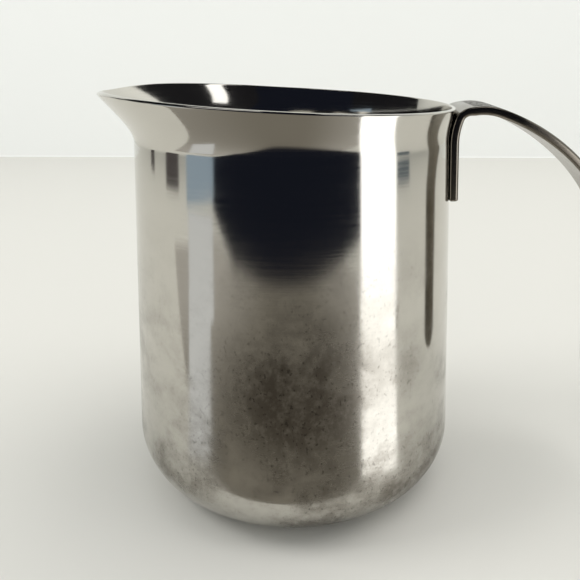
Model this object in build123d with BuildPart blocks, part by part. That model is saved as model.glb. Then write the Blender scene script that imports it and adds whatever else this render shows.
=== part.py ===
from build123d import *
from math import atan, atan2, cos, degrees, radians, sin, sqrt, tan
import os

# Small stainless milk frothing pitcher: a deep-drawn cup with a flared, pulled-out pouring rim
# and one open hook handle, a flat strap spot-welded to the wall under the rim.
# Millimetres. Z is the cup's axis, Z = 0 the face it stands on, +X the handle, -X the spout.

# --- cup ---
base_radius = 39.9        # where the wall's line would meet the standing plane
neck_radius = 34.6        # outer radius where the flare starts
rim_height = 91.4         # rim plane's height on the axis
flare_height = 9.4        # height of the flare under it
rim_rise = 3.1            # degrees that the rim plane climbs towards the spout
corner_radius = 14.0      # drawn corner between wall and base
cup_wall = 0.9            # sheet thickness
spout_flare = 9.2         # how far the rim stands out past the wall's line at the spout
side_flare = 1.5          # the same at the two sides
handle_flare = 1.3        # the same under the handle
flare_bend = 0.45         # share of the flare's height in which it turns outwards
lip_radius = 0.3          # rounding of the trimmed edge

# --- handle strap ---
strap_wall = 1.8          # strap thickness
strap_width = 16.8        # width at the tab and over the rim
grip_width = 13.0         # width of the grip
strap_round = 0.55        # rounding of the strap's long edges
strap_gap = 0.15          # gap between the cup and the tab, bridged by the welds
tab_length = 12.0         # straight part of the tab, below the flare
flare_lead = 0.2          # height above the neck where the tab starts to turn outwards
rim_gap = 0.1             # how far the tab stands out past the rim's reach beside it
rim_turn_drop = 2.0       # how far under the rim's edge the strap starts to turn over it
rim_turn_radius = 3.6     # turn outwards over the rim
top_radius = 12.5         # crown of the handle beside the rim
arch_radius = 50.0        # long arch away from the cup
knee_radius = 12.0        # turn from the arch down into the grip
crown_climb = 8.6         # degrees above level where the crown starts
crown_fall = 19.0         # degrees below level where the arch starts
arch_fall = 53.5          # degrees below level where the knee starts
grip_splay = 7.5          # degrees that the grip leans outwards going down
taper_drop = 3.9          # how far under the rim plane the strap starts to narrow
grip_drop = 15.4          # how far under it the strap has the grip's width
grip_end_height = 21.6    # lowest point of the free end

# --- spot welds between tab and wall ---
weld_diameter = 4.0
weld_cover = 0.15         # sheet left over the nugget on the cup's inside
weld_into_tab = 0.5       # nugget's depth in the tab
weld_pitch = 8.0          # spacing across the strap
weld_row_pitch = 6.0      # spacing along the strap

neck_height = rim_height - flare_height
wall_slope = (base_radius - neck_radius) / neck_height
wall_lean = degrees(atan(wall_slope))
rim_slope = tan(radians(rim_rise))


def wall_line(height):
    """Outer radius of the cup's straight wall at a height."""
    return base_radius - wall_slope * height


def flare_share(level):
    """Share of the flare reached at a level from 0, the neck, to 1, the rim: a hyperbola."""
    whole = sqrt(1 + 1 / flare_bend**2) - 1
    return (sqrt(1 + (level / flare_bend) ** 2) - 1) / whole


# ---------------------------------------------------------------- the strap's path
# The path is the strap's face on the cup's side, in the plane of the handle: up the wall, out
# along the flare, over the rim, and down the arch to the grip.
tab_top_height = neck_height + flare_lead
tab_top = (wall_line(tab_top_height) + strap_gap, tab_top_height)
tab_foot_height = tab_top_height - tab_length * cos(radians(wall_lean))
tab_foot = (wall_line(tab_foot_height) + strap_gap, tab_foot_height)
rim_reach = wall_line(rim_height) + handle_flare
rim_edge_height = rim_height - rim_slope * rim_reach
beside_rim = (rim_reach + rim_gap, rim_edge_height - rim_turn_drop)

# Drawn flat: X is the distance from the cup's axis, Y the height.
with BuildLine() as strap_path:
    tab = Line(tab_foot, tab_top)
    up_flare = TangentArc(tab @ 1, beside_rim, tangent=tab % 1)
    heading = up_flare % 1
    rim_turn = degrees(atan2(heading.Y, heading.X)) - crown_climb
    over_rim = JernArc(up_flare @ 1, heading, rim_turn_radius, -rim_turn)
    crown = JernArc(over_rim @ 1, over_rim % 1, top_radius, -(crown_climb + crown_fall))
    arch = JernArc(crown @ 1, crown % 1, arch_radius, -(arch_fall - crown_fall))
    knee = JernArc(arch @ 1, arch % 1, knee_radius, -(90 - arch_fall - grip_splay))
    grip_length = ((knee @ 1).Y - grip_end_height) / cos(radians(grip_splay))
    grip = Line(knee @ 1, knee @ 1 + (knee % 1) * grip_length)

# ---------------------------------------------------------------- spot welds
# Round nuggets through the gap, each sunk into pockets of its own size in the wall and the tab.
weld_into_cup = strap_gap + cup_wall - weld_cover
weld_middle = tab @ 0.5
weld_plane = Plane(
    origin=(weld_middle.X, 0, weld_middle.Y),
    x_dir=(0, 1, 0),
    z_dir=(cos(radians(wall_lean)), 0, sin(radians(wall_lean))),
)
with BuildPart() as spot_welds:
    with BuildSketch(weld_plane.offset(-weld_into_cup)):
        with GridLocations(weld_pitch, weld_row_pitch, 2, 2):
            Circle(weld_diameter / 2)
    extrude(amount=weld_into_cup + weld_into_tab)

# ---------------------------------------------------------------- cup
flare_levels = [0.0, 0.12, 0.26, 0.42, 0.6, 0.8, 1.0]

with BuildPart() as pitcher_cup:
    with BuildSketch(Plane.XZ) as cup_half:
        with BuildLine():
            Polyline(
                (0, 0),
                (base_radius, 0),
                (neck_radius, neck_height),
                (0, neck_height),
                close=True,
            )
        make_face()
        base_corner = cup_half.vertices().sort_by(Axis.Y)[:2].sort_by(Axis.X)[-1]
        fillet(base_corner, corner_radius)
    revolve(axis=Axis.Z)
    for level in flare_levels:
        height = neck_height + flare_height * level
        tilt = atan(rim_slope * level)
        share = flare_share(level)
        side = wall_line(height) + side_flare * share
        spout = (wall_line(height) + spout_flare * share) / cos(tilt)
        back = (wall_line(height) + handle_flare * share) / cos(tilt)
        across = (cos(tilt), 0, -sin(tilt))
        upward = (sin(tilt), 0, cos(tilt))
        with BuildSketch(Plane(origin=(0, 0, height), x_dir=across, z_dir=upward)):
            with BuildLine():
                EllipticalCenterArc((0, 0), back, side, start_angle=-90, arc_size=180)
                EllipticalCenterArc((0, 0), spout, side, start_angle=90, arc_size=180)
            make_face()
    loft()
    rim_face = pitcher_cup.faces().sort_by(Axis.Z)[-1]
    offset(amount=-cup_wall, openings=rim_face)
    lip_face = pitcher_cup.faces().filter_by(GeomType.PLANE).sort_by(Axis.Z)[-1]
    fillet(lip_face.edges(), lip_radius)
    add(spot_welds.part, mode=Mode.SUBTRACT)

# ---------------------------------------------------------------- handle strap
# Depth of the wall's curve across the strap, and the stations where the tab takes it up: the
# path's segment, the share of its length, and the share of the full dish.
half_width = strap_width / 2
full_dish = wall_line(tab_foot_height) - sqrt(wall_line(tab_foot_height) ** 2 - half_width**2)
dished_stations = [
    (tab, 0, 1),
    (tab, 1, 1),
    (up_flare, 0.5, 1),
    (up_flare, 1, 1),
    (over_rim, 0.25, 0.75),
    (over_rim, 0.5, 0.5),
    (over_rim, 0.75, 0.25),
    (over_rim, 1, 0),
]

# Outline of the flat band seen along X. It reaches well past the band at the top.
end_radius = grip_width / 2
full_width_height = rim_height - taper_drop
grip_width_height = rim_height - grip_drop
outline_top = 2 * rim_height
past_arch = base_radius + 2 * arch_radius
longer_than_wall = 1.2 * strap_wall

# The crown, arch, knee and grip are one flat band, which narrows on the arch and has a round free end.
with BuildPart() as handle_strap:
    with BuildSketch(Plane.XZ):
        with BuildLine():
            add(crown)
            add(arch)
            add(knee)
            add(grip)
            offset(amount=strap_wall, side=Side.RIGHT)
        make_face()
    extrude(amount=half_width, both=True)
    with BuildSketch(Plane.YZ):
        with BuildLine():
            Polyline(
                (-end_radius, grip_end_height + end_radius),
                (-end_radius, grip_width_height),
                (-half_width, full_width_height),
                (-half_width, outline_top),
                (half_width, outline_top),
                (half_width, full_width_height),
                (end_radius, grip_width_height),
                (end_radius, grip_end_height + end_radius),
            )
            ThreePointArc(
                (end_radius, grip_end_height + end_radius),
                (0, grip_end_height),
                (-end_radius, grip_end_height + end_radius),
            )
        make_face()
    extrude(amount=past_arch, mode=Mode.INTERSECT)
    crown_end = handle_strap.faces().sort_by(Axis.X)[0]
    long_edges = handle_strap.edges().filter_by(Axis.Y, reverse=True) - crown_end.edges()
    fillet(long_edges.filter_by(lambda edge: edge.length > longer_than_wall), strap_round)
    # The tab is dished to the wall's curve and flattens as it turns out over the rim.
    for segment, share, dish_share in dished_stations:
        ahead = segment % share
        centre = segment @ share
        dish = full_dish * dish_share
        station_plane = Plane(
            origin=(centre.X, 0, centre.Y),
            x_dir=(ahead.Y, 0, -ahead.X),
            z_dir=(ahead.X, 0, ahead.Y),
        )
        with BuildSketch(station_plane) as section:
            with BuildLine():
                wall_side = [(-dish, -half_width), (0, 0), (-dish, half_width)]
                out_side = [(x + strap_wall, -y) for x, y in wall_side]
                if dish_share > 0:
                    ThreePointArc(*wall_side)
                    ThreePointArc(*out_side)
                else:
                    Line(wall_side[0], wall_side[-1])
                    Line(out_side[0], out_side[-1])
                Line(wall_side[-1], out_side[0])
                Line(out_side[-1], wall_side[0])
            make_face()
            fillet(section.vertices(), strap_round)
    loft(ruled=True)
    add(spot_welds.part, mode=Mode.SUBTRACT)

# ---------------------------------------------------------------- files
pitcher_cup.part.label = "pitcher_cup"
handle_strap.part.label = "handle_strap"
spot_welds.part.label = "spot_welds"
os.makedirs("parts", exist_ok=True)
export_step(pitcher_cup.part, "parts/pitcher_cup.step")
export_step(handle_strap.part, "parts/handle_strap.step")
export_step(spot_welds.part, "parts/spot_welds.step")
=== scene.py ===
import math

import bpy
import numpy as np
from mathutils import Matrix, Vector


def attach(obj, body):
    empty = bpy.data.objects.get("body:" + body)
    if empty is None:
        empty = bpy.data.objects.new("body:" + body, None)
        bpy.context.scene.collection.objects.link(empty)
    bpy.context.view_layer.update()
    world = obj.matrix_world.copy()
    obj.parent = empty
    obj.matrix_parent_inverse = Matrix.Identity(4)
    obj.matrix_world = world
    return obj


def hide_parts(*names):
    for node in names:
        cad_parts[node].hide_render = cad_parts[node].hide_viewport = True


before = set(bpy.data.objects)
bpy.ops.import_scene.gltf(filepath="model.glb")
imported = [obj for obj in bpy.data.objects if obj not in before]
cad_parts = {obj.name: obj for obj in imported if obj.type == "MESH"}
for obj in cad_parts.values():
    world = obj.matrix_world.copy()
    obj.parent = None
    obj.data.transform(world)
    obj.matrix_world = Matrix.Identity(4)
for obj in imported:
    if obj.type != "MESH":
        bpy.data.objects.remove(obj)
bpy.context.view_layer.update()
mm = 0.001


# Quads between neighbouring rows and columns of a grid of points. wrap closes the columns into a ring.
def gridFaces(rows, columns, wrap):
    rowIndex = np.arange(rows - 1)[:, None] * columns
    start = np.arange(columns if wrap else columns - 1)[None, :]
    following = (start + 1) % columns
    near, beside = rowIndex + start, rowIndex + following
    quads = np.stack([near, beside, beside + columns, near + columns], -1)
    return quads.reshape(-1, 4)


# Triangles from a ring of point numbers to one centre point.
def fanFaces(ring, centre, flip):
    following = np.roll(ring, -1)
    middle = np.full_like(ring, centre)
    triangles = np.stack([ring, following, middle] if flip else [following, ring, middle], -1)
    return triangles


# A smooth mesh from arrays of points in millimetres, riding on the root body in place of a CAD node.
def makePiece(name, points, quads, triangles, material, replaced):
    mesh = bpy.data.meshes.new(name)
    corners = np.concatenate([quads.ravel(), triangles.ravel()]).astype(np.int32)
    sizes = np.concatenate([np.full(len(quads), 4), np.full(len(triangles), 3)]).astype(np.int32)
    mesh.vertices.add(len(points))
    mesh.vertices.foreach_set("co", (points * mm).astype(np.float32).ravel())
    mesh.loops.add(len(corners))
    mesh.loops.foreach_set("vertex_index", corners)
    mesh.polygons.add(len(sizes))
    mesh.polygons.foreach_set("loop_start", np.concatenate([[0], np.cumsum(sizes)[:-1]]).astype(np.int32))
    mesh.polygons.foreach_set("use_smooth", np.ones(len(sizes), dtype=bool))
    mesh.update(calc_edges=True)
    mesh.validate()
    mesh.materials.append(material)
    piece = bpy.data.objects.new(name, mesh)
    bpy.context.scene.collection.objects.link(piece)
    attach(piece, "root")
    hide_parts(replaced)
    print(name, len(points), "points")
    return piece


steel = {
    "cupColour": (0.58, 0.56, 0.515, 1.0),
    # The strap is the same steel as the cup. Its darker colour is painted shade, matching the darker
    # reflections it shows.
    "strapShadedColour": (0.21, 0.19, 0.16, 1.0),
    # Colour of the film, and of the painted shade that darkens the lower wall and the front patch.
    "filmAndShadeColour": (0.17, 0.15, 0.125, 1.0),
    "speckColour": (0.10, 0.09, 0.075, 1.0),
    # The front patch is partly a real stain and partly painted shade.
    "stainAndShadePlace": (0.004, -0.0375, 0.037),    # metres, on the front of the wall
    "stainAndShadeCore": 0.006,       # metres from its place within which the stain and painted shade are full
    "stainAndShadeReach": 0.026,      # metres from its place at which it ends
    "cleanRoughness": 0.07,
    "filmRoughness": 0.30,
    "lineRoughness": 0.05,    # most that the polishing lines add
    "waveStrength": 0.25,
    "waveDepth": 0.00006,     # metres
    "scratchStrength": 0.2,
    "scratchDepth": 0.00001,
}


# Polished stainless steel under a thin film: fine lines round the Z axis, cloudy smears that thicken towards
# the bottom, one broad patch on the front, and small water spots inside them. The darkening towards the
# bottom and the front patch are partly real film and stain and partly painted shade, standing in for the
# shaded floor that the wall mirrors. The patterns are noise on Object coordinates, and the patch fades with
# the distance from its place.
def steelMaterial(name, cleanColour, extraRoughness, filmAndShadeAmount, filmAndShadeTop):
    material = bpy.data.materials.new(name)
    material.use_nodes = True
    tree = material.node_tree
    shader = tree.nodes["Principled BSDF"]
    shader.inputs["Metallic"].default_value = 1.0
    place = tree.nodes.new("ShaderNodeTexCoord").outputs["Object"]

    def noise(scale, detail, stretch=(1, 1, 1), roughness=0.5):
        mapping = tree.nodes.new("ShaderNodeMapping")
        mapping.inputs["Scale"].default_value = stretch
        tree.links.new(place, mapping.inputs["Vector"])
        texture = tree.nodes.new("ShaderNodeTexNoise")
        texture.inputs["Scale"].default_value = scale
        texture.inputs["Detail"].default_value = detail
        texture.inputs["Roughness"].default_value = roughness
        tree.links.new(mapping.outputs["Vector"], texture.inputs["Vector"])
        return texture.outputs["Fac"]

    def mapRange(value, low, high, start=0.0, end=1.0):
        node = tree.nodes.new("ShaderNodeMapRange")
        node.interpolation_type = "SMOOTHSTEP"
        for socket, number in zip(("From Min", "From Max", "To Min", "To Max"), (low, high, start, end)):
            node.inputs[socket].default_value = number
        tree.links.new(value, node.inputs["Value"])
        return node.outputs["Result"]

    def combine(kind, first, second):
        node = tree.nodes.new("ShaderNodeMath")
        node.operation = kind
        for socket, value in zip(node.inputs, (first, second)):
            if isinstance(value, (int, float)):
                socket.default_value = value
            else:
                tree.links.new(value, socket)
        return node.outputs["Value"]

    def blendColour(amount, first, second):
        node = tree.nodes.new("ShaderNodeMix")
        node.data_type = "RGBA"
        tree.links.new(amount, node.inputs["Factor"])
        for socket, value in zip((node.inputs[6], node.inputs[7]), (first, second)):
            if isinstance(value, tuple):
                socket.default_value = value
            else:
                tree.links.new(value, socket)
        return node.outputs[2]

    split = tree.nodes.new("ShaderNodeSeparateXYZ")
    tree.links.new(place, split.inputs["Vector"])
    # Darker towards the bottom: partly real film, partly painted shade.
    low = mapRange(split.outputs["Z"], filmAndShadeTop, 0.0)

    lines = noise(1.0, 5, (50, 50, 3200), 0.7)
    clouds = noise(42.0, 6, (1, 1, 1.3), 0.62)
    grain = noise(420.0, 4, (1, 1, 0.8), 0.7)
    specks = noise(1500.0, 2, (1, 1, 0.7), 0.5)

    filmAndShade = combine("MULTIPLY", mapRange(clouds, 0.38, 0.66), low)
    filmAndShade = combine("MULTIPLY", filmAndShade, filmAndShadeAmount)
    # One broad patch on the front, partly stain, partly painted shade: a ball round a place on the wall, broken
    # up by the clouds.
    nearness = tree.nodes.new("ShaderNodeVectorMath")
    nearness.operation = "DISTANCE"
    tree.links.new(place, nearness.inputs[0])
    nearness.inputs[1].default_value = steel["stainAndShadePlace"]
    stainAndShade = mapRange(nearness.outputs["Value"], steel["stainAndShadeReach"], steel["stainAndShadeCore"])
    stainAndShade = combine("MULTIPLY", stainAndShade, mapRange(clouds, 0.30, 0.52, 0.2, 1.0))
    filmAndShade = combine("MAXIMUM", filmAndShade, combine("MULTIPLY", stainAndShade, filmAndShadeAmount))
    filmAndShade = combine("MULTIPLY", filmAndShade, mapRange(grain, 0.25, 0.6, 0.6, 1.0))
    spots = combine("MULTIPLY", mapRange(specks, 0.60, 0.70), filmAndShade)

    colour = blendColour(filmAndShade, cleanColour, steel["filmAndShadeColour"])
    colour = blendColour(spots, colour, steel["speckColour"])
    tree.links.new(colour, shader.inputs["Base Color"])

    roughness = mapRange(lines, 0.3, 0.7, 0.0, steel["lineRoughness"])
    roughness = combine("ADD", roughness, steel["cleanRoughness"] + extraRoughness)
    roughness = combine("ADD", roughness, combine("MULTIPLY", filmAndShade, steel["filmRoughness"]))
    tree.links.new(roughness, shader.inputs["Roughness"])

    waves = tree.nodes.new("ShaderNodeBump")
    waves.inputs["Strength"].default_value = steel["waveStrength"]
    waves.inputs["Distance"].default_value = steel["waveDepth"]
    tree.links.new(noise(55.0, 1), waves.inputs["Height"])
    scratches = tree.nodes.new("ShaderNodeBump")
    scratches.inputs["Strength"].default_value = steel["scratchStrength"]
    scratches.inputs["Distance"].default_value = steel["scratchDepth"]
    tree.links.new(lines, scratches.inputs["Height"])
    tree.links.new(waves.outputs["Normal"], scratches.inputs["Normal"])
    tree.links.new(scratches.outputs["Normal"], shader.inputs["Normal"])
    return material


# Millimetres. The base radius, the spout's flare and the grip's end height differ from the CAD's by up to
# 0.2 mm, so that the finer meshes stay inside its box.
cup = {
    "baseRadius": 39.88,    # where the wall's line would meet the floor
    "neckRadius": 34.6,     # outer radius where the flare starts
    "rimHeight": 91.4,      # rim plane's height on the axis
    "flareHeight": 9.4,
    "rimRise": 3.1,         # degrees that the rim climbs towards the spout
    "cornerRadius": 14.0,
    "wall": 0.9,
    "spoutFlare": 9.0,
    "sideFlare": 1.5,
    "handleFlare": 1.3,
    "flareBend": 0.45,
    "flareStart": 0.12,     # share of the flare's height that still stands straight
    "lipRound": 0.3,
    "lipSquash": 0.7,       # power that flattens the half circle of the lip
    "spoutAlong": 2.8,      # superellipse powers of the spout's half of the rim
    "spoutAcross": 1.4,
    "tipDroop": 1.1,        # how far the spout's tip hangs under the rim plane
    "tipSpread": 18.0,      # degrees round the axis over which it droops
    "azimuths": 360,
}


# Outer radius of the straight wall at a height.
def wallLine(height):
    neckHeight = cup["rimHeight"] - cup["flareHeight"]
    return cup["baseRadius"] + (cup["neckRadius"] - cup["baseRadius"]) * height / neckHeight


# A hyperbola from 0 at the neck to 1 at the rim, which turns outwards in its first part.
def flareShare(level):
    bend = cup["flareBend"]
    return (np.sqrt(1 + (level / bend) ** 2) - 1) / (math.sqrt(1 + 1 / bend**2) - 1)


# Point of the outer face. profile runs 0..1 over the flat base, 1..2 round the corner, 2..3 up the wall and
# 3..4 up the flare. A flare outline is half an ellipse towards the handle and half a superellipse towards the
# spout, and its plane tips up towards the spout by a share of the rim's rise.
def outerSurface(profile, azimuth):
    rise = math.tan(math.radians(cup["rimRise"]))
    neckHeight = cup["rimHeight"] - cup["flareHeight"]
    lean = math.atan((cup["baseRadius"] - cup["neckRadius"]) / neckHeight)
    corner = cup["cornerRadius"]
    cornerCentre = wallLine(corner) - corner / math.cos(lean)
    cornerTurn = np.clip(profile - 1, 0, 1) * (math.pi / 2 + lean)
    cornerTop = corner * (1 + math.sin(lean))
    radius = np.clip(profile, 0, 1) * cornerCentre + corner * np.sin(cornerTurn)
    height = corner * (1 - np.cos(cornerTurn))
    upWall = np.clip(profile - 2, 0, 1)
    height = np.where(profile > 2, cornerTop + (neckHeight - cornerTop) * upWall, height)
    radius = np.where(profile > 2, wallLine(height), radius)

    level = np.clip(profile - 3, 0, 1)
    share = flareShare(np.clip((level - cup["flareStart"]) / (1 - cup["flareStart"]), 0, 1))
    onAxis = neckHeight + cup["flareHeight"] * level
    toSpout = np.cos(azimuth) < 0
    along = wallLine(onAxis) + np.where(toSpout, cup["spoutFlare"], cup["handleFlare"]) * share
    across = wallLine(onAxis) + cup["sideFlare"] * share
    alongPower = 2 + (cup["spoutAlong"] - 2) * share * toSpout
    acrossPower = 2 + (cup["spoutAcross"] - 2) * share * toSpout
    outline = 1.2 * along
    cosine = np.maximum(np.abs(np.cos(azimuth)), 1e-9)
    sine = np.maximum(np.abs(np.sin(azimuth)), 1e-9)
    for step in range(14):   # Newton's method on the superellipse, along each azimuth
        first = (outline * cosine / along) ** alongPower
        second = (outline * sine / across) ** acrossPower
        outline = outline - (first + second - 1) * outline / (alongPower * first + acrossPower * second)
    radius = np.where(profile > 3, outline, radius)
    fromSpout = np.degrees(np.arccos(np.clip(-np.cos(azimuth), -1, 1)))
    droop = cup["tipDroop"] * np.exp(-((fromSpout / cup["tipSpread"]) ** 2)) * (1 - (1 - level) ** 2)
    flareHeight = onAxis - rise * level * outline * np.cos(azimuth) - droop
    height = np.where(profile > 3, flareHeight, height)
    return np.stack([radius * np.cos(azimuth), radius * np.sin(azimuth), height], -1)


# Outward unit normals, from small steps along both parameters.
def surfaceNormals(surface, profile, azimuth):
    step = 1e-4
    along = surface(profile + step, azimuth) - surface(profile - step, azimuth)
    around = surface(profile, azimuth + step) - surface(profile, azimuth - step)
    normal = np.cross(around, along)
    return normal / np.maximum(np.linalg.norm(normal, axis=-1, keepdims=True), 1e-12)


# Outer face, rounded lip and inner face as one closed grid. The inner face is the outer one moved in by the
# sheet along its normal, and the lip is a flattened half circle between them.
def buildCup(material):
    azimuth = np.linspace(0, 2 * math.pi, cup["azimuths"], endpoint=False)[None, :]
    stations = np.concatenate([
        np.linspace(0, 1, 8)[1:-1],
        np.linspace(1, 2, 26)[:-1],
        np.linspace(2, 3, 30)[:-1],
        np.linspace(3, 3.97, 40),
    ])[:, None]
    profile, around = np.broadcast_arrays(stations, azimuth)
    outer = outerSurface(profile, around)
    normals = surfaceNormals(outerSurface, profile, around)
    inner = outer - cup["wall"] * normals

    lipTurn = np.linspace(0, math.pi, 13)[1:-1, None, None]
    upwards = outer[-1] - outer[-2]
    upwards = upwards / np.linalg.norm(upwards, axis=-1, keepdims=True)
    middle = outer[-1] - cup["wall"] / 2 * normals[-1]
    squash = cup["lipSquash"]
    outwards = np.sign(np.cos(lipTurn)) * np.abs(np.cos(lipTurn)) ** squash
    lipOut = cup["wall"] / 2 * outwards * normals[-1]
    lipUp = cup["lipRound"] * np.sin(lipTurn) ** squash * upwards
    lip = middle + lipOut + lipUp

    rows = np.concatenate([outer, lip, inner[::-1]])
    count = cup["azimuths"]
    points = np.concatenate([rows.reshape(-1, 3), [[0, 0, 0]], [[0, 0, cup["wall"]]]])
    quads = gridFaces(len(rows), count, True)
    bottom = fanFaces(np.arange(count), len(points) - 2, False)
    floor = fanFaces(np.arange(count) + (len(rows) - 1) * count, len(points) - 1, True)
    fans = np.concatenate([bottom, floor])
    return makePiece("pitcherCup", points, quads, fans, material, "pitcher_cup")


strap = {
    "wall": 1.8,
    "width": 16.8,
    "gripWidth": 13.0,
    "edgeRound": 0.55,
    "gap": 0.15,
    "tabLength": 12.0,
    "flareLead": 0.2,
    "rimGap": 0.1,
    "rimTurnDrop": 2.0,
    "rimTurnRadius": 3.6,
    "topRadius": 12.5,
    "archRadius": 50.0,
    "kneeRadius": 12.0,
    "crownClimb": 8.6,       # degrees of heading: above level, then below level
    "crownFall": 19.0,
    "archFall": 53.5,
    "fullWidthHeight": 87.5,
    "gripWidthHeight": 76.0,
    "gripSplay": 7.5,
    "gripEndHeight": 21.8,
    "endRound": 0.35,
    "cornerPoints": 7,       # points round each corner of the section
    "fillPoints": 15,        # points over each broad face of it
    "spacing": 0.5,
}


# Arrays of distance, x, height and heading along the strap's face on the cup's side. Each run is a straight
# line or an arc, given as its length and its turn, and a point at a share of an arc lies at the chord's end.
def strapPath():
    neckHeight = cup["rimHeight"] - cup["flareHeight"]
    lean = math.atan((cup["baseRadius"] - cup["neckRadius"]) / neckHeight)
    tabTop = neckHeight + strap["flareLead"]
    tabFoot = tabTop - strap["tabLength"] * math.cos(lean)
    rimReach = wallLine(cup["rimHeight"]) + cup["handleFlare"]
    rimEdge = cup["rimHeight"] - math.tan(math.radians(cup["rimRise"])) * rimReach
    heading = math.pi / 2 + lean
    chordX = rimReach + strap["rimGap"] - wallLine(tabTop) - strap["gap"]
    chordZ = rimEdge - strap["rimTurnDrop"] - tabTop
    flareTurn = 2 * (heading - math.atan2(chordZ, chordX))
    flareRadius = math.hypot(chordX, chordZ) / (2 * math.sin(flareTurn / 2))
    rimTurn = heading - flareTurn - math.radians(strap["crownClimb"])
    crownTurn = math.radians(strap["crownClimb"] + strap["crownFall"])
    archTurn = math.radians(strap["archFall"] - strap["crownFall"])
    kneeTurn = math.radians(90 - strap["archFall"] - strap["gripSplay"])
    runs = [
        (strap["tabLength"], 0.0),
        (flareRadius * flareTurn, flareTurn),
        (strap["rimTurnRadius"] * rimTurn, rimTurn),
        (strap["topRadius"] * crownTurn, crownTurn),
        (strap["archRadius"] * archTurn, archTurn),
        (strap["kneeRadius"] * kneeTurn, kneeTurn),
    ]
    x, z = wallLine(tabFoot) + strap["gap"], tabFoot
    marks, parts, travelled = [0.0], [], 0.0

    def walk(length, turn):
        nonlocal x, z, heading, travelled
        share = np.linspace(0, 1, max(4, int(length / strap["spacing"])), endpoint=False)
        ends = np.append(share, 1.0)
        half = turn * ends / 2
        chord = length * ends * np.sinc(half / math.pi)
        px, pz = x + chord * np.cos(heading - half), z + chord * np.sin(heading - half)
        parts.append(np.stack([travelled + length * share, px[:-1], pz[:-1], heading - turn * share]))
        x, z, heading, travelled = px[-1], pz[-1], heading - turn, travelled + length
        marks.append(travelled)

    for length, turn in runs:
        walk(length, turn)
    walk((z - strap["gripEndHeight"]) / math.cos(math.radians(strap["gripSplay"])), 0.0)
    parts.append(np.array([[travelled], [x], [z], [heading]]))
    return np.concatenate(parts, 1), marks


# Unit points round a rectangle of half sizes 1 x 1 whose corners are quarter circles, as (side, out, corner)
# signs: the corner's centre and the direction from it, so that one set fits any width and thickness.
def roundedSection(count):
    turn = np.linspace(0, math.pi / 2, count)
    across, out, directionAcross, directionOut = [], [], [], []
    for quarter in range(4):
        angle = turn + quarter * math.pi / 2
        middle = quarter * math.pi / 2 + math.pi / 4
        across.append(np.full(count, np.sign(math.cos(middle))))
        out.append(np.full(count, np.sign(math.sin(middle))))
        directionAcross.append(np.cos(angle))
        directionOut.append(np.sin(angle))
    return [np.concatenate(values) for values in (across, out, directionAcross, directionOut)]


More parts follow.
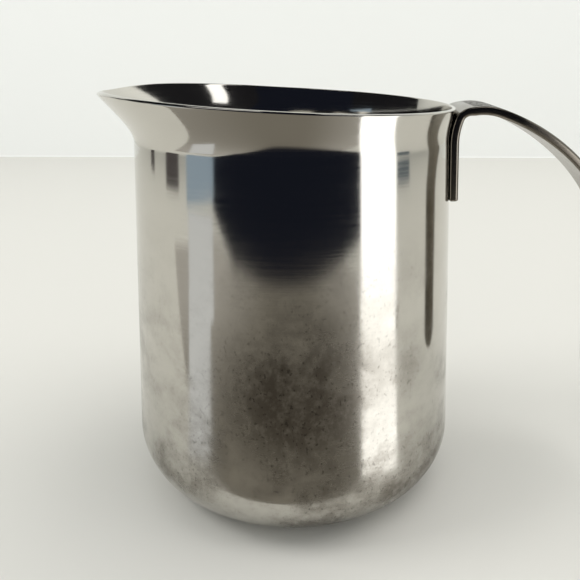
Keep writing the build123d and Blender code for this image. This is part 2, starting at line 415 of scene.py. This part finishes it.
# A rounded rectangular section carried along the path. On the tab the section is bowed to the wall's curve,
# on the arch it narrows to the grip's width, and the free end is a half circle seen along X.
def buildStrap(material):
    path, marks = strapPath()
    total = marks[-1]
    cornerPoints, fillPoints = strap["cornerPoints"], strap["fillPoints"]
    endRadius = strap["gripWidth"] / 2
    endTurn = np.linspace(0, math.pi / 2, 26)
    tipDistance = total - endRadius * (1 - np.cos(endTurn))[::-1]
    footDistance = strap["endRound"] * (1 - np.cos(np.linspace(0, math.pi / 2, 7)))
    body = path[0][(path[0] > footDistance[-1] + 0.1) & (path[0] < tipDistance[0] - 0.1)]
    distance = np.concatenate([footDistance, body, tipDistance])
    x, z, heading = (np.interp(distance, path[0], row) for row in path[1:])

    onArch = distance > marks[3]
    taper = strap["fullWidthHeight"] - strap["gripWidthHeight"]
    share = np.clip((strap["fullWidthHeight"] - z) / taper, 0, 1) * onArch
    halfWidth = (strap["width"] + (strap["gripWidth"] - strap["width"]) * share) / 2
    fromTip = np.clip(total - distance, 0, endRadius)
    roundEnd = np.sqrt(endRadius**2 - (endRadius - fromTip) ** 2)
    halfWidth = np.where(total - distance < endRadius, roundEnd, halfWidth)

    inset = strap["endRound"] - np.clip(distance, 0, strap["endRound"])
    inset = strap["endRound"] - np.sqrt(strap["endRound"] ** 2 - inset**2)
    tipInset = strap["edgeRound"] - np.clip(total - distance, 0, strap["edgeRound"])
    thinner = strap["edgeRound"] - np.sqrt(strap["edgeRound"] ** 2 - tipInset**2)
    halfWall = strap["wall"] / 2 - inset - thinner
    halfWidth = halfWidth - inset
    corner = np.minimum(strap["edgeRound"], np.minimum(halfWall, halfWidth) * 0.98)

    across, out, directionAcross, directionOut = roundedSection(cornerPoints)
    fill = np.linspace(-1, 1, fillPoints + 2)[1:-1]    # extra points over both broad faces, so they can bow
    half = 2 * cornerPoints
    side = np.concatenate([across[:half], -fill, across[half:], fill])
    wallSide = np.concatenate([out[:half], -fill * 0 + 1, out[half:], fill * 0 - 1])
    sideStep = np.concatenate([directionAcross[:half], fill * 0, directionAcross[half:], fill * 0])
    outStep = np.concatenate([directionOut[:half], fill * 0 + 1, directionOut[half:], fill * 0 - 1])
    # Round the section: first corner, the points over the broad face, second corner, then all the rest.
    order = np.concatenate([
        np.arange(cornerPoints),
        np.arange(half, half + fillPoints),
        np.arange(cornerPoints, half),
        np.arange(half + fillPoints, 2 * half + 2 * fillPoints),
    ])
    side, wallSide, sideStep, outStep = side[order], wallSide[order], sideStep[order], outStep[order]

    acrossStrap = (halfWidth - corner)[:, None] * side + corner[:, None] * sideStep
    outOfStrap = (halfWall - corner)[:, None] * wallSide + corner[:, None] * outStep
    bowShare = np.clip((marks[3] - distance) / (marks[3] - marks[2]), 0, 1)
    bowShare = bowShare**2 * (3 - 2 * bowShare)
    wallRadius = wallLine(cup["rimHeight"] - cup["flareHeight"] - strap["tabLength"])
    bow = (wallRadius - np.sqrt(wallRadius**2 - acrossStrap**2)) * bowShare[:, None]
    fromPath = strap["wall"] / 2 + outOfStrap - bow
    px = x[:, None] + fromPath * np.sin(heading)[:, None]
    pz = z[:, None] - fromPath * np.cos(heading)[:, None]
    rows = np.stack([px, acrossStrap, pz], -1)

    count = rows.shape[1]
    points = np.concatenate([rows.reshape(-1, 3), rows[0].mean(0)[None], rows[-1].mean(0)[None]])
    quads = gridFaces(len(rows), count, True)
    foot = fanFaces(np.arange(count), len(points) - 2, False)
    tip = fanFaces(np.arange(count) + (len(rows) - 1) * count, len(points) - 1, True)
    fans = np.concatenate([foot, tip])
    return makePiece("handleStrap", points, quads, fans, material, "handle_strap")


stage = {
    "floorColour": (0.70, 0.69, 0.655, 1.0),
    "backdropColour": (0.93, 0.94, 0.93, 1.0),
    "floorBack": 490.0,      # distance of the backdrop behind the pitcher
    "coveStrips": 13,        # strips of the sheet that have the floor's colour, the rest have the backdrop's
    "floorRoughness": 0.7,
    "backdropRoughness": 0.9,
    "cove": 2.0,             # radius of the sweep from floor to backdrop
    "halfWidth": 2500.0,
    "floorFront": -2500.0,
    "backdropTop": 2200.0,
    "worldColour": (0.90, 0.92, 0.90, 1.0),
    "worldStrength": 0.76,
}


def plainMaterial(name, colour, roughness):
    material = bpy.data.materials.new(name)
    material.use_nodes = True
    shader = material.node_tree.nodes["Principled BSDF"]
    shader.inputs["Base Color"].default_value = colour
    shader.inputs["Roughness"].default_value = roughness
    return material


# Floor and backdrop as one sheet that sweeps up through a quarter circle.
def buildFloor():
    turn = np.linspace(0, math.pi / 2, 24)
    back, cove = stage["floorBack"], stage["cove"]
    y = np.concatenate([[stage["floorFront"]], back - cove + cove * np.sin(turn), [back]])
    z = np.concatenate([[0.0], cove * (1 - np.cos(turn)), [stage["backdropTop"]]])
    x = np.array([-stage["halfWidth"], stage["halfWidth"]])
    points = np.stack([np.broadcast_to(x[None, :], (len(y), 2)), np.broadcast_to(y[:, None], (len(y), 2)),
                       np.broadcast_to(z[:, None], (len(y), 2))], -1).reshape(-1, 3)
    mesh = bpy.data.meshes.new("floorSheet")
    mesh.from_pydata((points * mm).tolist(), [], gridFaces(len(y), 2, False).tolist())
    mesh.polygons.foreach_set("use_smooth", np.ones(len(mesh.polygons), dtype=bool))
    mesh.materials.append(plainMaterial("paleFloor", stage["floorColour"], stage["floorRoughness"]))
    mesh.materials.append(plainMaterial("paleBackdrop", stage["backdropColour"], stage["backdropRoughness"]))
    onBackdrop = np.arange(len(mesh.polygons)) >= stage["coveStrips"]
    mesh.polygons.foreach_set("material_index", onBackdrop.astype(np.int32))
    sheet = bpy.data.objects.new("floorSheet", mesh)
    bpy.context.scene.collection.objects.link(sheet)
    world = bpy.data.worlds.new("softRoom")
    world.use_nodes = True
    background = world.node_tree.nodes["Background"]
    background.inputs["Color"].default_value = stage["worldColour"]
    background.inputs["Strength"].default_value = stage["worldStrength"]
    bpy.context.scene.world = world


# Standing studio cards: name, centre, width and height, azimuth of the normal, colour and strength of glow.
cards = [
    ("darkRoom", (72, -290, 230), (516, 460), 90, (0.010, 0.012, 0.020, 1), 1.0),
    ("darkRoomLeft", (-338, -345, 230), (367, 460), 112.4, (0.010, 0.012, 0.020, 1), 1.0),
    ("darkHighLeft", (-380, -60, 340), (520, 400), 0, (0.012, 0.012, 0.014, 1), 1.0),
    ("blueBoard", (-300, -190, 90), (150, 110), 0, (0.36, 0.46, 0.56, 1), 1.0),
    ("darkEdge", (-300, -44, 75), (66, 64), 0, (0.09, 0.08, 0.08, 1), 1.0),
    ("darkPost", (-300, 74, 75), (27, 56), 0, (0.07, 0.06, 0.06, 1), 1.0),
    ("slateBoard", (300, -49, 57), (58, 18), 180, (0.14, 0.17, 0.19, 1), 1.0),
    ("whiteStripNear", (41, -42, 27), (20, 46), 141, (1.0, 1.0, 0.98, 1), 2.0),
    ("whiteStripFar", (148.7, -91.6, 47), (79.6, 76), 151.5, (1.0, 1.0, 1.0, 1), 2.3),
    ("softStripNear", (-39.5, -44, 29), (13, 44), 40, (0.72, 0.74, 0.75, 1), 1.1),
    ("softStripFar", (-102.4, -77.9, 40), (40, 38), 33, (0.72, 0.74, 0.75, 1), 1.1),
]


# Level cards: the shaded floor in front of the pitcher, and a dark ceiling with two windows under it, which
# the inside of the cup mirrors. Name, centre, sizes along X and Y, colour, strength and the colour it fades to.
levelCards = [
    ("shadedFloor", (-65, -171, 0.4), (550, 236), (0.25, 0.232, 0.195, 1), 1.0, (0.52, 0.50, 0.46, 1)),
    ("brightWindow", (-60, -40, 280), (90, 60), (1.0, 1.0, 1.0, 1), 2.0, None),
    ("secondWindow", (110, -40, 280), (110, 60), (1.0, 1.0, 1.0, 1), 2.0, None),
    ("darkCeiling", (-20, -60, 300), (560, 500), (0.015, 0.015, 0.017, 1), 1.0, None),
]
fade = {"inner": 0.03, "outer": 0.22}    # metres from the middle over which a fading card changes colour


# Corners in millimetres of a standing card, from its centre, width and height and the azimuth of its normal.
def standingCorners(centre, size, facing):
    turn = math.radians(facing)
    side = np.array([-math.sin(turn), math.cos(turn), 0.0]) * size[0] / 2
    up = np.array([0.0, 0.0, size[1] / 2])
    middle = np.array(centre)
    return np.array([middle - side - up, middle + side - up, middle + side + up, middle - side + up])


# Corners in millimetres of a level card, from its centre and its sizes along X and Y.
def levelCorners(centre, size):
    signs = np.array([[-1, -1, 0], [1, -1, 0], [1, 1, 0], [-1, 1, 0]])
    return np.array(centre) + signs * np.array([size[0] / 2, size[1] / 2, 0.0])


# A flat card that glows, seen only in reflections. With an edge colour it fades smoothly to it along X.
def buildCard(name, corners, colour, strength, edgeColour=None):
    material = bpy.data.materials.new(name)
    material.use_nodes = True
    tree = material.node_tree
    tree.nodes.remove(tree.nodes["Principled BSDF"])
    glow = tree.nodes.new("ShaderNodeEmission")
    glow.inputs["Color"].default_value = colour
    glow.inputs["Strength"].default_value = strength
    tree.links.new(glow.outputs["Emission"], tree.nodes["Material Output"].inputs["Surface"])
    if edgeColour:
        split = tree.nodes.new("ShaderNodeSeparateXYZ")
        tree.links.new(tree.nodes.new("ShaderNodeTexCoord").outputs["Object"], split.inputs["Vector"])
        distance = tree.nodes.new("ShaderNodeMath")
        distance.operation = "ABSOLUTE"
        tree.links.new(split.outputs["X"], distance.inputs[0])
        share = tree.nodes.new("ShaderNodeMapRange")
        share.interpolation_type = "SMOOTHSTEP"
        share.inputs["From Min"].default_value = fade["inner"]
        share.inputs["From Max"].default_value = fade["outer"]
        tree.links.new(distance.outputs["Value"], share.inputs["Value"])
        blend = tree.nodes.new("ShaderNodeMix")
        blend.data_type = "RGBA"
        blend.inputs[6].default_value = colour
        blend.inputs[7].default_value = edgeColour
        tree.links.new(share.outputs["Result"], blend.inputs["Factor"])
        tree.links.new(blend.outputs[2], glow.inputs["Color"])
    mesh = bpy.data.meshes.new(name)
    mesh.from_pydata((corners * mm).tolist(), [], [(0, 1, 2, 3)])
    mesh.materials.append(material)
    card = bpy.data.objects.new(name, mesh)
    bpy.context.scene.collection.objects.link(card)
    card.visible_camera = False
    card.visible_diffuse = False
    card.visible_shadow = False
    card.visible_transmission = False


# Area lights: name, place, size, power in watts and colour. They aim at the middle of the pitcher.
lights = [
    ("rightSoft", (420, 60, 850), 750, 3.7, (1.0, 0.98, 0.95)),
    ("leftSoft", (-600, -80, 620), 320, 2.0, (1.0, 0.99, 0.97)),
]
lightAim = (0, 0, 40)


def buildLights():
    for name, place, size, power, colour in lights:
        light = bpy.data.lights.new(name, "AREA")
        light.shape = "SQUARE"
        light.size = size * mm
        light.energy = power
        light.color = colour
        lamp = bpy.data.objects.new(name, light)
        lamp.location = Vector(place) * mm
        lamp.rotation_euler = (Vector(lightAim) - Vector(place)).to_track_quat("-Z", "Y").to_euler()
        lamp.visible_glossy = False
        bpy.context.scene.collection.objects.link(lamp)
    for name, centre, size, facing, colour, strength in cards:
        buildCard(name, standingCorners(centre, size, facing), colour, strength)
    for name, centre, size, colour, strength, edgeColour in levelCards:
        buildCard(name, levelCorners(centre, size), colour, strength, edgeColour)


camera = {
    "place": (8.78, -143.69, 101.18),
    "towards": (-0.0613, 0.9319, -0.3574),
    "roll": -0.0083,
    "lens": 38.98,
    "sensor": 36.0,
}


def buildCamera():
    lens = bpy.data.cameras.new("frontCamera")
    lens.sensor_width = camera["sensor"]
    lens.lens = camera["lens"]
    lens.clip_start = 0.01
    holder = bpy.data.objects.new("frontCamera", lens)
    aim = Vector(camera["towards"]).to_track_quat("-Z", "Y").to_matrix()
    turn = aim @ Matrix.Rotation(camera["roll"], 3, "Z")
    holder.matrix_world = Matrix.Translation(Vector(camera["place"]) * mm) @ turn.to_4x4()
    bpy.context.scene.collection.objects.link(holder)
    bpy.context.scene.camera = holder


bpy.context.scene.view_settings.view_transform = "Standard"
buildCamera()
buildFloor()
buildLights()
print("stage ready")
cupSteel = steelMaterial("cupSteel", steel["cupColour"], 0.0, 1.0, 0.085)
# Strap steel with painted shade: the same steel as the cup, given a darker colour.
shadedStrapSteel = steelMaterial("shadedStrapSteel", steel["strapShadedColour"], 0.1, 0.3, 0.12)
buildCup(cupSteel)
buildStrap(shadedStrapSteel)
weldSteel = plainMaterial("weldSteel", (0.35, 0.32, 0.29, 1), 0.45)
weldSteel.node_tree.nodes["Principled BSDF"].inputs["Metallic"].default_value = 1.0
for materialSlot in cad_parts["spot_welds"].material_slots:
    materialSlot.material = weldSteel
print("pieces ready")
